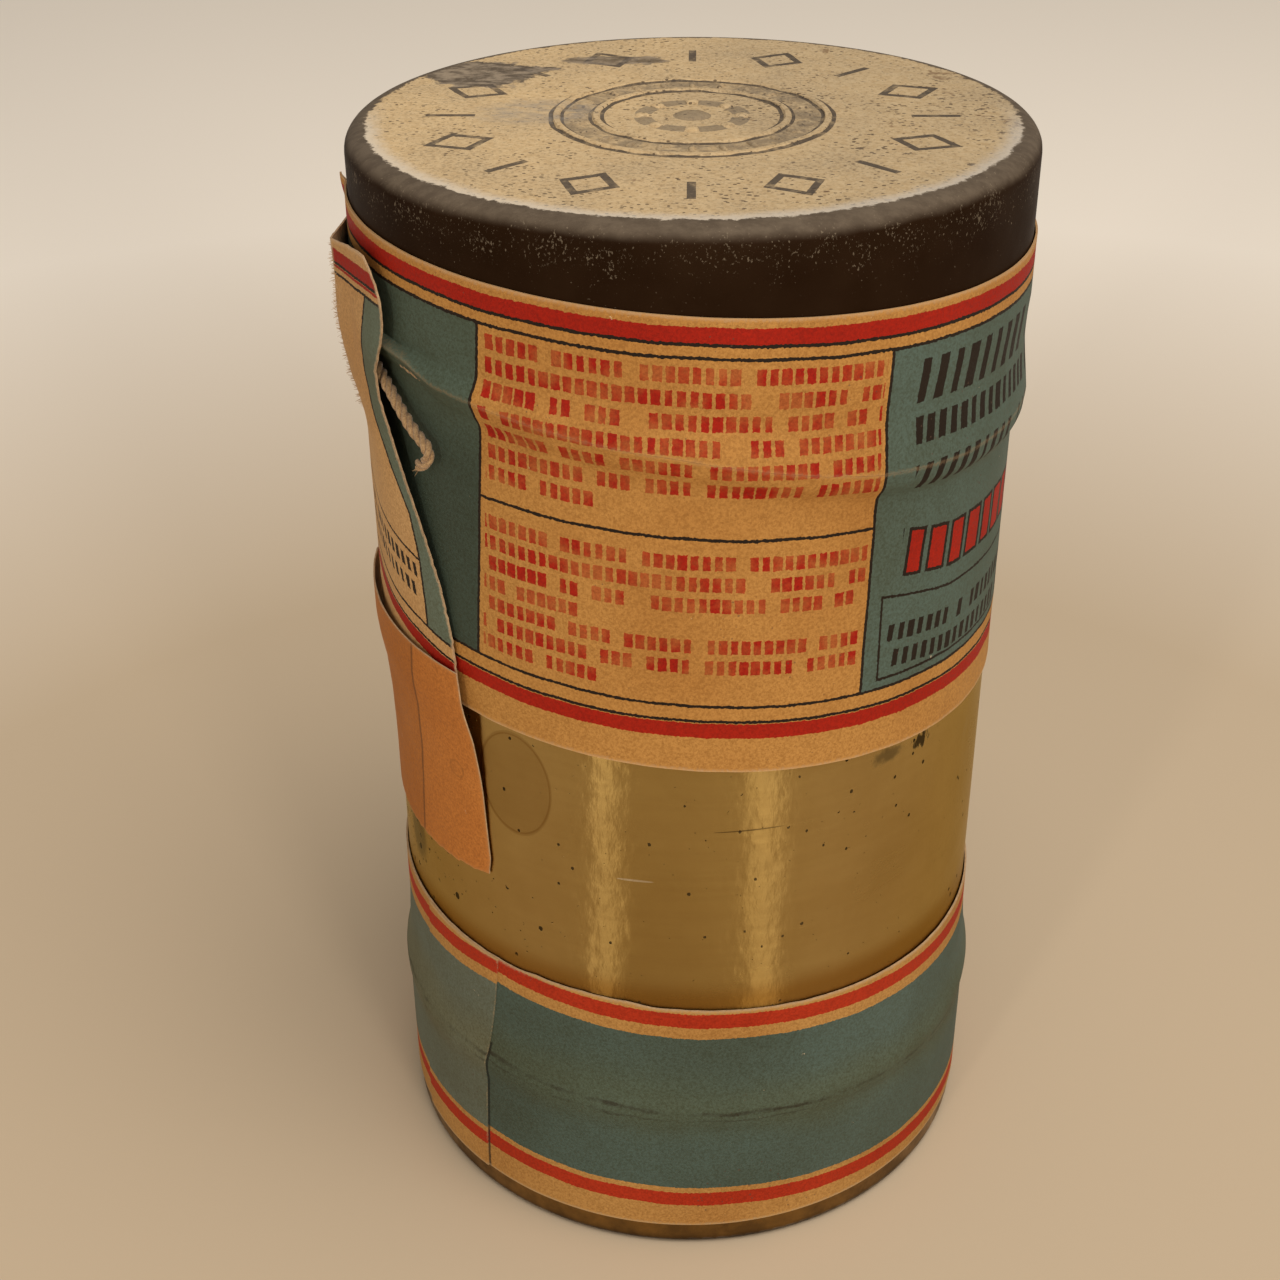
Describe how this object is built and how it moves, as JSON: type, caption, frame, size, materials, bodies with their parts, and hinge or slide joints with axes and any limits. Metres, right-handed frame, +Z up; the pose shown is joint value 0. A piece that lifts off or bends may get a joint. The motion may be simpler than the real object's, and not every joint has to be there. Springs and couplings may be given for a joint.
{
  "type": "bandage tin",
  "caption": "Cylindrical metal dressings tin with a slip-on lid, a printed paper wrapper with a tear string over the lid's joint, and gauze dressings packed inside.",
  "frame": {"origin": "centre of the tin's underside, on the surface that it stands on", "axes": "+Z up along the tin's axis, towards the lid; -Y towards the printed front that faces the camera; +X to the viewer's right"},
  "size_m": [0.0881, 0.0858, 0.1483],
  "materials": {
    "brass_lacquer": "gold lacquer on tinplate, semi-gloss, pitted",
    "brown_lacquer": "worn dark brown lacquer, pale where it has rubbed off",
    "base_lacquer": "dark brown-gold lacquer",
    "rubber": "aged red-brown rubber",
    "card": "grey-brown board",
    "printed_paper": "aged cream paper with teal panels and red and black lines",
    "band_paper": "aged paper printed teal with cream and red stripes",
    "slip_paper": "thin orange paper",
    "string": "twisted cotton string",
    "liner_paper": "plain cream paper",
    "cotton": "soft cotton wool",
    "gauze": "open-weave cotton gauze",
    "roll_paper": "plain paper band",
    "ampoule_glass": "clear glass",
    "powder": "pressed crystals",
    "leaflet_paper": "folded thin paper"
  },
  "bodies": {
    "tin": {"tin_body": "brass_lacquer", "bottom_cap": "base_lacquer", "base_gasket": "rubber", "base_lining": "card", "wrapper_body_part": "printed_paper", "wrapper_flap": "printed_paper", "tear_string": "string", "string_end": "string", "control_slip": "slip_paper", "foot_band": "band_paper", "liner_sleeve": "liner_paper", "cotton_pad": "cotton", "gauze_roll_1": "gauze", "gauze_roll_2": "gauze", "gauze_roll_3": "gauze", "gauze_roll_4": "gauze", "roll_band_1": "roll_paper", "roll_band_2": "roll_paper", "roll_band_3": "roll_paper", "roll_band_4": "roll_paper", "compress_1": "gauze", "compress_2": "gauze", "compress_3": "gauze", "compress_4": "gauze", "compress_5": "gauze", "ampoule_glass": "ampoule_glass", "ampoule_powder": "powder", "leaflet": "leaflet_paper"},
    "lid": {"lid_shell": "brown_lacquer", "lid_gasket": "rubber", "lid_lining": "card", "wrapper_lid_part": "printed_paper"}
  },
  "joints": [
    {"name": "lid_lift", "type": "slide", "parent": "tin", "child": "lid", "axis": [0, 0, 1], "range_m": [0, 0.06]}
  ]
}
